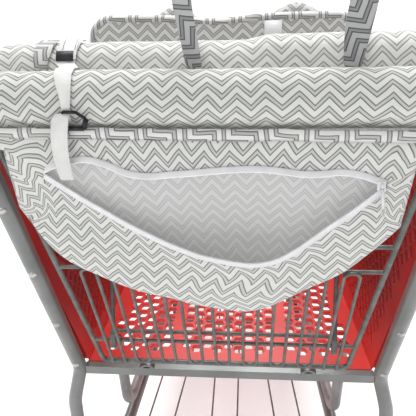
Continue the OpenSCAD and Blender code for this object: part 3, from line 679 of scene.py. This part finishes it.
def along(points, x):
    """The height of a smooth line through points, at x."""
    if x <= points[0][0]:
        return points[0][1]
    for i in range(len(points) - 1):
        (x0, z0), (x1, z1) = points[i], points[i + 1]
        if x <= x1:
            before = points[max(i - 1, 0)]
            after = points[min(i + 2, len(points) - 1)]
            slope0 = (z1 - before[1]) / (x1 - before[0])
            slope1 = (after[1] - z0) / (after[0] - x0)
            t, w = (x - x0) / (x1 - x0), x1 - x0
            return (
                z0 * (1 + 2 * t) * (1 - t) ** 2 + w * slope0 * t * (1 - t) ** 2
                + z1 * t * t * (3 - 2 * t) + w * slope1 * t * t * (t - 1)
            )  # fmt: skip
    return points[-1][1]


def bag_edge(z):
    """y of the seam that joins the pocket's front to its lining."""
    return FOOT - 0.170 + (0.972 - z) * 0.105


def bag_front(x, z, s, t):
    """y of the front panel, s from its top to its hem and t from left to right."""
    flat = FOOT - 0.180 + (0.972 - z) * 0.105
    belly = 0.013 * math.exp(-(((x - 0.03) / 0.13) ** 2)) * max(0, math.sin(math.pi * min(1, s * 1.05)))
    sag = 0.004 * math.exp(-(((z - along(ZIP_LOW, x)) / 0.03) ** 2)) * (1 - abs(t)) if z < 0.93 else 0
    ripple = 0.0016 * noise.noise(Vector((x * 22, z * 30, 1)))
    ripple += 0.003 * noise.noise(Vector((x * 7, z * 9, 5)))
    hem = s**8
    edge = abs(t) ** 14 if s > 0.2 else 0
    y = flat - belly - sag + ripple
    return y + (bag_edge(z) - y) * max(hem, edge)


ACROSS, ABOVE, BELOW = 96, 10, 22


def hang_panel(bm, zipped, depth):
    """Hangs a grid as the panel: rows above the zip, then rows below it."""
    rows = ABOVE + BELOW + 1
    bmesh.ops.create_grid(bm, x_segments=ACROSS, y_segments=rows, size=1)
    bm.verts.ensure_lookup_table()
    for vert in bm.verts:
        t = vert.co.x
        j = round((1 - vert.co.y) / 2 * rows)
        hem = along(HEM, HEM[0][0] * -min(t, 0) + HEM[-1][0] * max(t, 0))
        mouth_x = t * (0.234 if t < 0 else 0.216)
        top_zip, low_zip = along(ZIP_TOP, mouth_x), along(ZIP_LOW, mouth_x)
        if not zipped:
            top_zip = low_zip = (top_zip + low_zip) / 2
        if j <= ABOVE:
            z = POCKET_TOP + (top_zip - POCKET_TOP) * j / ABOVE
        else:
            z = low_zip + (hem - low_zip) * (j - ABOVE - 1) / BELOW
        s = (POCKET_TOP - z) / (POCKET_TOP - hem)
        x = t * along(LEFT_SIDE if t < 0 else RIGHT_SIDE, s)
        vert.co = (x, depth(x, z, s, t), z)


bm = bmesh.new()
hang_panel(bm, True, bag_front)
mouth = [
    face for face in bm.faces
    if max(v.co.z for v in face.verts) - min(v.co.z for v in face.verts) > 0
    and -0.191 < face.calc_center_median().x < 0.184
    and min(v.co.z for v in face.verts) <= along(ZIP_LOW, face.calc_center_median().x) + 0.004
    and max(v.co.z for v in face.verts) >= along(ZIP_TOP, face.calc_center_median().x) - 0.004
]  # fmt: skip
bmesh.ops.delete(bm, geom=mouth, context="FACES")
bmesh.ops.remove_doubles(bm, verts=bm.verts, dist=0.0004)
bmesh.ops.recalc_face_normals(bm, faces=bm.faces)
print_pocket = print_cloth("zigzag_cotton_pocket", GROUND, LINE, BETWEEN, zig=0.0272, row=0.0150, steep=1.2)
pocket = make_piece("pocket_front", bm, print_pocket, "cart", "cover_print", "cover_pocket_front")


def pocket_place(p):
    """The print droops with the hem, bunches up over the belly, is pulled along the zip, and turns
    where the two ends of the pocket are gathered."""
    low = min(1, max(0, (0.95 - p.z) / 0.2))
    droop = 0.20 * (along(HEM, p.x) - 0.76) * low
    bunch = 0.005 * math.exp(-(((p.x - 0.03) / 0.09) ** 2)) * math.sin((p.z - 0.72) * 60)
    under_zip = max(0, along(ZIP_LOW, p.x) - p.z) if p.z < 0.925 else 1
    gather = 0.010 * math.exp(-under_zip / 0.012)
    u = p.x * (1 - 0.13 * low) + bunch + gather
    v = 0.95 + (p.z - droop - 0.95) * (1 - 0.10 * low) + bunch + gather
    end_x = -0.186 if p.x < 0 else 0.182
    past = min(1, max(0, (abs(p.x) - abs(end_x)) / 0.03)) * min(1, max(0, (p.z - 0.865) / 0.02))
    turn = math.radians(-38 if p.x < 0 else 24) * past
    out, up = u - end_x, v - 0.93
    return (
        end_x + out * math.cos(turn) - up * math.sin(turn),
        0.93 + out * math.sin(turn) + up * math.cos(turn),
    )


lay_cloth(pocket, pocket_place)
thicken(pocket, 0.0012, 0)

# Pocket lining: the plain back of the same cotton, with the print showing faintly through.
print_back = print_cloth(
    "cotton_wrong_side", (0.50, 0.505, 0.50), (0.33, 0.34, 0.33), (0.43, 0.435, 0.43),
    zig=0.0272, row=0.0150, steep=1.2
)


def lining_depth(x, z, s, t):
    """y of the lining: close behind the front, and away from it only in the belly."""
    gap = 0.005 + 0.022 * math.exp(-(((x - 0.03) / 0.10) ** 2)) * math.sin(math.pi * min(1, s))
    gap += 0.004 * (1 - s)
    flat = FOOT - 0.180 + (0.972 - z) * 0.105 + gap + 0.002 * noise.noise(Vector((x * 8, z * 8, 9)))
    return flat + (bag_edge(z) + 0.0006 - flat) * max(s**6, abs(t) ** 10 if s > 0.1 else 0)


# The lining glows faintly: painted light, standing in for daylight through the thin cotton.
lining_painted_glow = print_back.node_tree.nodes["Principled BSDF"].inputs  # daylight through thin cotton
lining_painted_glow["Emission Color"].default_value = (0.80, 0.79, 0.79, 1)
lining_painted_glow["Emission Strength"].default_value = 0.22
bm = bmesh.new()
hang_panel(bm, False, lining_depth)
bmesh.ops.remove_doubles(bm, verts=bm.verts, dist=0.0004)
bmesh.ops.recalc_face_normals(bm, faces=bm.faces)
lining = make_piece("pocket_lining", bm, print_back, "cart", "cover_lining", "cover_pocket_lining")
lay_cloth(lining, lambda p: (p.x * 1.02, p.z + 0.004 * math.sin(p.x * 9)))
thicken(lining, 0.0012, 0)

# Binding: a folded strip of the print cut on the bias, sewn along the roll where the pocket hangs.
bm = bmesh.new()
stations = []
for i in range(61):
    x = -0.244 + 0.488 * i / 60
    bob = 0.0012 * noise.noise(Vector((x * 20, 0, 4)))
    stations.append(((x, FOOT - 0.1862 + bob, 0.9829 - 0.0128 * x + bob), (0, -0.10, 1), (0, 1, 0.10)))
sweep(bm, rounded_bar(0.0130, 0.0036, 0.8), stations)
binding = make_piece("pocket_binding", bm, print_bias, "cart", "cover_bias", "cover_binding")
lay_cloth(binding, lambda p: (p.x, p.z))

# Zip: two white woven tapes with a nylon coil along the mouth of the pocket, and a small slide.
zip_white = mottled("zip_tape_white", (0.86, 0.86, 0.87), (0.78, 0.78, 0.80), 60, 0.6, 0.6, 1500, sheen=0.2)
bm = bmesh.new()
for line, side in ((ZIP_TOP, 1), (ZIP_LOW, -1)):
    stations = []
    for i in range(90):
        x = -0.190 + 0.373 * i / 89
        z = along(line, x)
        slope = Vector((0.001, 0, along(line, x + 0.0005) - along(line, x - 0.0005))).normalized()
        up = Vector((-slope.z, 0, slope.x))
        s = (POCKET_TOP - z) / (POCKET_TOP - along(HEM, x))
        y = bag_front(x, z, s, x / 0.211) - 0.0016
        coil = 0.00025 if i % 2 else 0
        stations.append((Vector((x, y - coil, z)) + up * side * 0.0016, up * side, (0, 1, 0)))
    tape_outline = [
        (-0.0030, -0.0016), (-0.0012, -0.0019), (-0.0002, -0.0007),
        (0.0042, -0.0005), (0.0042, 0.0006), (-0.0030, 0.0008),
    ]
    sweep(bm, tape_outline, stations)
make_piece("zip_tapes", bm, zip_white, "cart", "cover_lining", "cover_zip_tapes")
slider_at = Vector((0.1785, bag_front(0.1785, 0.921, 0.25, 0.83) - 0.0042, 0.9225))
bm = bmesh.new()
bmesh.ops.create_cube(bm, size=1)
bmesh.ops.scale(bm, verts=bm.verts, vec=(0.0088, 0.0034, 0.0105))
bmesh.ops.bevel(bm, geom=bm.edges[:], offset=0.0012, segments=3, profile=0.5, affect="EDGES", material=-1)
bmesh.ops.translate(bm, verts=bm.verts, vec=slider_at)
bridge = [(0, -0.0020, 0.0040), (0, -0.0040, 0.0030), (0, -0.0040, -0.0025), (0, -0.0020, -0.0040)]
bridge_stations = [(slider_at + Vector(at), (1, 0, 0), (0, 1, 0.2)) for at in bridge]
sweep(bm, rounded_bar(0.0034, 0.0012, 0.6), bridge_stations)
hang = Vector((0.17, 0.0, -1)).normalized()
side = Vector((1, 0, 0.17)).normalized()
top = slider_at + Vector((0, -0.0046, -0.001))
for edge in (-1, 1):
    pull_sides = (
        (0.0, 0.0008), (0.006, 0.0013), (0.022, 0.0013), (0.026, 0.0021), (0.031, 0.0021), (0.034, 0.0006)
    )
    stations = [(top + hang * d + side * edge * w, side, (0, 1, 0)) for d, w in pull_sides]
    sweep(bm, rounded_bar(0.0015, 0.0013, 0.6), stations)
pull_stations = [(top + hang * d, side, (0, 1, 0)) for d in (0.001, 0.012, 0.0235)]
sweep(bm, rounded_bar(0.0022, 0.0010, 0.6), pull_stations)
make_piece("zip_slider", bm, zip_white, "cart", "zip_nylon", "cover_zip_slider")

# Strap: white woven tape that holds the cover to the handle. It comes over both rolls, carries a
# blank sewn label, narrows where it is gathered, and hangs in front of the pocket.
webbing = mottled("strap_webbing", (0.82, 0.82, 0.80), (0.72, 0.72, 0.70), 30, 0.7, 0.9, 1600, sheen=0.3)


def round_roll(centre_y, centre_z, radius, angle):
    a = math.radians(angle)
    return Vector((0, centre_y - radius * math.cos(a), centre_z + radius * math.sin(a)))


route = []
for angle, x, width in (
    (118, -0.160, 0.023), (95, -0.160, 0.023), (70, -0.161, 0.023),
    (45, -0.163, 0.023), (22, -0.164, 0.022),
):
    route.append((round_roll(TOP_Y, TOP_Z, 0.0292, angle), x, width))
for angle, x, width in (
    (112, -0.153, 0.0205), (90, -0.153, 0.020), (68, -0.152, 0.019), (45, -0.149, 0.016),
    (25, -0.147, 0.012), (8, -0.147, 0.0095), (-6, -0.148, 0.0085),
):
    route.append((round_roll(HANDLE_Y, HANDLE_Z, 0.0342, angle), x, width))
bm = bmesh.new()
stations = []
for i, (point, x, width) in enumerate(route):
    before, after = route[max(i - 1, 0)][0], route[min(i + 1, len(route) - 1)][0]
    run = (after - before).normalized()
    face_out = Vector((0, run.z, -run.y))
    stations.append((point + Vector((x, 0, 0)), (width / 0.02, 0, 0), face_out))
sweep(bm, rounded_bar(0.02, 0.0013, 0.6), stations)
route = [
    (-0.147, 0.1905, 1.001, 0.008), (-0.150, 0.1935, 1.0085, 0.015), (-0.153, 0.1952, 1.003, 0.0182),
    (-0.157, 0.1950, 0.986, 0.0182), (-0.159, 0.1940, 0.970, 0.0178), (-0.160, 0.1925, 0.955, 0.0172),
    (-0.1605, 0.1895, 0.942, 0.0162), (-0.160, 0.1870, 0.931, 0.0155),
]  # fmt: skip
stations = []
for i, (x, back, z, width) in enumerate(route):
    before, after = route[max(i - 1, 0)], route[min(i + 1, len(route) - 1)]
    run = Vector((0, before[1] - after[1], after[2] - before[2])).normalized()
    stations.append(((x, FOOT - back, z), (width / 0.02, 0, 0), (0, run.z, -run.y)))
sweep(bm, rounded_bar(0.02, 0.0013, 0.6), stations)
make_piece("handle_strap", bm, webbing, "cart", "webbing", "cover_strap")

label_white = mottled("label_white", (0.88, 0.88, 0.88), (0.83, 0.83, 0.84), 40, 0.5, 0.4, 1200)
bm = bmesh.new()
stations = []
for angle in (84, 70, 56, 42, 30):
    point = round_roll(TOP_Y, TOP_Z, 0.0304, angle) + Vector((-0.1595, 0, 0))
    a = math.radians(angle)
    stations.append((point, (1, 0, 0), (0, -math.cos(a), math.sin(a))))
sweep(bm, rounded_bar(0.0165, 0.0008, 0.4), stations)
make_piece("strap_label", bm, label_white, "cart", "cover_lining", "cover_strap_label")

patch_black = mottled("patch_black", (0.012, 0.013, 0.018), (0.008, 0.008, 0.012), 60, 0.45, 0.5, 900)
bm = bmesh.new()
stations = []
for angle in (47, 37, 26):
    point = round_roll(TOP_Y, TOP_Z, 0.0308, angle) + Vector((-0.1640, 0, 0))
    a = math.radians(angle)
    stations.append((point, (1, 0, 0), (0, -math.cos(a), math.sin(a))))
sweep(bm, rounded_bar(0.0195, 0.0012, 0.4), stations)
for side in (-1, 1):
    stations = []
    for angle in (88, 74, 60, 50):
        point = round_roll(TOP_Y, TOP_Z, 0.0309, angle) + Vector((-0.1598 + side * 0.0068, 0, 0))
        a = math.radians(angle)
        stations.append((point, (1, 0, 0), (0, -math.cos(a), math.sin(a))))
    sweep(bm, rounded_bar(0.0006, 0.0003, 0.4), stations)
make_piece("strap_patch", bm, patch_black, "cart", "buckle_black")

bm = bmesh.new()
stations = []
for angle, x, width in (
    (100, -0.1880, 1.1), (75, -0.1885, 1.1), (50, -0.1900, 1.0),
    (28, -0.1915, 0.85), (10, -0.1925, 0.7),
):
    point = round_roll(TOP_Y, TOP_Z, 0.0288, angle) + Vector((x, 0, 0))
    a = math.radians(angle)
    stations.append((point, (width, 0, 0), (0, -math.cos(a), math.sin(a))))
sweep(bm, rounded_bar(0.0200, 0.0012, 0.4), stations)
loop_end = make_piece("strap_loop_end", bm, print_bias, "cart", "cover_bias")
lay_cloth(loop_end, lambda p: (p.x, p.y + p.z))

# Strap slide: a moulded black ring with a middle bar, through which the strap is threaded.
slide_black = mottled("slide_black", (0.020, 0.021, 0.025), (0.012, 0.012, 0.015), 50, 0.3, 0.3, 500)
bm = bmesh.new()
ring = [(-0.1500, 1.0105), (-0.1362, 1.0100), (-0.1268, 1.0030), (-0.1300, 0.9930), (-0.1480, 0.9932)]
for i, (x, z) in enumerate(ring):
    far_x, far_z = ring[(i + 1) % len(ring)]
    run = Vector((far_x - x, 0, far_z - z)).normalized()
    bar = 0.0052 if i in (2, 3) else 0.0028
    stations = [
        ((x, FOOT - 0.1922, z), (run.z * bar / 0.003, 0, -run.x * bar / 0.003), (0, 1, 0)),
        ((far_x, FOOT - 0.1922, far_z), (run.z * bar / 0.003, 0, -run.x * bar / 0.003), (0, 1, 0)),
    ]
    sweep(bm, rounded_bar(0.003, 0.0026, 0.9), stations)
make_piece("strap_slide", bm, slide_black, "cart", "buckle_black", "cover_strap_buckle")

# Carrying strap: a folded band of the print cut on the bias, stitched down between the two rolls.
print_carry = print_cloth(
    "zigzag_cotton_carry", (0.47, 0.475, 0.48), (0.085, 0.085, 0.09), (0.27, 0.27, 0.275),
    math.radians(40), 0.3
)
carry = [
    (-0.0215, 1.030, 0.000, 0.8, -30), (-0.0228, 1.045, 0.000, 0.82, -30), (-0.0265, 1.070, 0.002, 0.84, -30),
    (-0.031, 1.100, 0.004, 0.86, -28), (-0.033, 1.125, 0.005, 0.9, -20), (-0.024, 1.155, 0.006, 1, -10),
    (0.004, 1.176, 0.006, 1, 0), (0.058, 1.184, 0.005, 1, 0), (0.112, 1.176, 0.004, 1, 0),
    (0.141, 1.156, 0.002, 1, 5), (0.153, 1.130, 0.000, 1, 10), (0.151, 1.100, -0.002, 1, 10),
    (0.148, 1.080, -0.002, 1, 5), (0.1465, 1.061, 0.000, 0.9, 10), (0.1455, 1.045, 0.000, 0.76, 20),
    (0.1455, 1.030, 0.000, 0.72, 25),
]  # fmt: skip
bm = bmesh.new()
stations = []
for i, (x, z, lean_back, width, twist) in enumerate(carry):
    before, after = carry[max(i - 1, 0)], carry[min(i + 1, len(carry) - 1)]
    run = Vector((after[0] - before[0], 0, after[1] - before[1])).normalized()
    turn = Matrix.Rotation(math.radians(twist), 3, run)
    side = turn @ Vector((run.z, 0, -run.x))
    stations.append(((x, FOOT - 0.1253 - lean_back, z), side * width, run.cross(side)))
sweep(bm, rounded_bar(0.0275, 0.0026, 0.6), stations)
carry_strap = make_piece("carrying_strap", bm, print_carry, "cart", "cover_bias", "cover_carry_strap")
finer = carry_strap.modifiers.new("finer", "SUBSURF")
finer.levels = finer.render_levels = 1


def carry_place(p):
    """Distance across the band, and along it from its left end round to its right end."""
    best = (9, 0, 0)
    run = 0.0
    for a, b in zip(carry, carry[1:]):
        start, end = Vector((a[0], a[1])), Vector((b[0], b[1]))
        step = end - start
        t = max(0, min(1, (Vector((p.x, p.z)) - start).dot(step) / step.length_squared))
        off = Vector((p.x, p.z)) - start - step * t
        if off.length < best[0]:
            across = off.length if step.x * off.y - step.y * off.x > 0 else -off.length
            best = (off.length, across, run + step.length * t)
        run += step.length
    return best[1], best[2]


lay_cloth(carry_strap, carry_place)

# Seat pads: thin quilted pads on the gate, the seat flap and the seat back. The gate pad has a
# hole for each leg. The seat back's sleeve has a bound edge and a loose flap on its far side.
SEAT_LEAN = math.radians(22)
SHIFT = -0.006
to_back = Matrix.Translation((SHIFT, up_y(0.528, 0.003), 0.528)) @ Matrix.Rotation(-SEAT_LEAN, 4, "X")
BACK_TOP = (1.005 - 0.528) / math.cos(SEAT_LEAN)


def soft_block(low, high, cuts, round_by):
    """A closed block with rounded edges, cut finely enough to swell."""
    bm = bmesh.new()
    bmesh.ops.create_cube(bm, size=1)
    size = Vector(high) - Vector(low)
    bmesh.ops.scale(bm, verts=bm.verts, vec=size)
    bmesh.ops.translate(bm, verts=bm.verts, vec=(Vector(low) + Vector(high)) / 2)
    upright = [e for e in bm.edges if abs((e.verts[0].co - e.verts[1].co)[cuts]) > 1e-5]
    bmesh.ops.bevel(bm, geom=upright, offset=round_by, segments=6, profile=0.5, affect="EDGES", material=-1)
    return bm


print_far = print_cloth("zigzag_cotton_far", (0.72, 0.72, 0.70), (0.30, 0.30, 0.285), (0.50, 0.50, 0.48))
bm = puff(soft_block((-0.2085, -0.0125, 0.230), (0.2085, -0.0065, BACK_TOP + 0.0285), 1, 0.028), 0.005, 0.003)
bm.transform(to_back)
back_pad = make_piece("seat_back_pad", bm, print_far, "seat_back", "cover_print", "cover_back_pad")
lay_cloth(back_pad, lambda p: (p.x * 1.0, p.z / math.cos(SEAT_LEAN)))

# the bound edge round the top of the sleeve
bm = bmesh.new()
edge_path = []
corner = 0.030
top_z, half = BACK_TOP + 0.0265, 0.2075
for z in (0.30, 0.36, 0.42, 0.47, top_z - corner - 0.003):
    edge_path.append((-half, z))
for k in range(1, 6):
    a = math.radians(90 * k / 6)
    edge_path.append((-half + corner - corner * math.cos(a), top_z - corner + corner * math.sin(a)))
for i in range(21):
    edge_path.append(((-half + corner) * (1 - i / 10), top_z))
edge_path += [(-x, z) for x, z in reversed(edge_path[:10])]
stations = []
for i, (x, z) in enumerate(edge_path):
    before, after = edge_path[max(i - 1, 0)], edge_path[min(i + 1, len(edge_path) - 1)]
    run = Vector((after[0] - before[0], 0, after[1] - before[1])).normalized()
    sag = 0.0075 * math.exp(-(((x + 0.01) / 0.06) ** 2)) if z > BACK_TOP else 0
    stations.append(((x, -0.0095, z - sag), (-run.z, 0, run.x), (0, 1, 0)))
sweep(bm, rounded_bar(0.012, 0.0145, 0.35), stations)
bm.transform(to_back)
back_edge = make_piece("seat_back_binding", bm, print_bias, "seat_back", "cover_bias")
lay_cloth(back_edge, lambda p: (p.x, p.z))

# the loose flap behind it, whose gathered top stands up in two humps
bm = bmesh.new()
bmesh.ops.create_grid(bm, x_segments=72, y_segments=28, size=1)
for vert in bm.verts:
    x = vert.co.x * 0.200
    s = (vert.co.y + 1) / 2
    hump = 0.036 * math.exp(-(((x + 0.076) / 0.043) ** 2)) + 0.038 * math.exp(-(((x - 0.118) / 0.052) ** 2))
    top = BACK_TOP + 0.014 + hump - 0.02 * abs(vert.co.x) ** 12
    z = 0.300 + (top - 0.300) * s
    y = 0.0088 + 0.008 * s**6 + 0.0014 * noise.noise(Vector((x * 14, z * 10, 2)))
    vert.co = (x, y, z)
bm.transform(to_back)
bmesh.ops.recalc_face_normals(bm, faces=bm.faces)
flap = make_piece("seat_back_flap", bm, print_far, "seat_back", "cover_print", "cover_back_flap")
lay_cloth(flap, lambda p: (p.x * 0.9, p.z / math.cos(SEAT_LEAN)))
thicken(flap, 0.0022, 0)

bm = bmesh.new()
stations = [((0.0795, -0.0165, BACK_TOP + z), (1, 0, 0), (0, 1, 0)) for z in (0.019, 0.004, -0.010)]
sweep(bm, rounded_bar(0.027, 0.0008, 0.4), stations)
bm.transform(to_back)
make_piece("seat_back_label", bm, label_white, "seat_back", "cover_lining")

hinge = Vector((SHIFT, up_y(0.781, 0.003), 0.781))
bm = puff(soft_block((-0.175, 0.036, -0.0035), (0.175, 0.139, 0.0035), 2, 0.02), 0.005, 0.002)
bm.transform(Matrix.Translation(hinge))
seat_pad = make_piece("seat_pad", bm, print_far, "seat_plate_body", "cover_print", "cover_seat_pad")
lay_cloth(seat_pad, lambda p: (p.x, p.y))

bm = bmesh.new()
bmesh.ops.create_grid(bm, x_segments=84, y_segments=28, size=1)
bmesh.ops.scale(bm, verts=bm.verts, vec=(0.211, 0.0695, 1))
gate_holes = [
    face for face in bm.faces
    if ((abs(face.calc_center_median().x) - 0.107) / 0.058) ** 4
    + ((face.calc_center_median().y + 0.008) / 0.050) ** 4 < 1
]  # fmt: skip
bmesh.ops.delete(bm, geom=gate_holes, context="FACES")
rims = [v for e in bm.edges if e.is_boundary for v in e.verts if abs(v.co.y) < 0.066 and abs(v.co.x) < 0.205]
for _ in range(4):
    bmesh.ops.smooth_vert(
        bm, verts=list(set(rims)), factor=0.5, use_axis_x=True, use_axis_y=True, use_axis_z=True
    )
lean_place = Matrix.Translation((SHIFT, up_y(0.800, 0.011), 0.800)) @ Matrix.Rotation(LEAN, 4, "X")
upright = Matrix.Translation((0, 0, 0.070)) @ Matrix.Rotation(math.radians(90), 4, "X")
in_lean = lean_place @ upright
bm.transform(in_lean)
bmesh.ops.recalc_face_normals(bm, faces=bm.faces)
gate_pad = make_piece("gate_pad", bm, print_far, "rear_gate", "cover_print", "cover_gate_pad")
lay_cloth(gate_pad, lambda p: (p.x, p.z))
thicken(gate_pad, 0.005, 0, 0.0018)
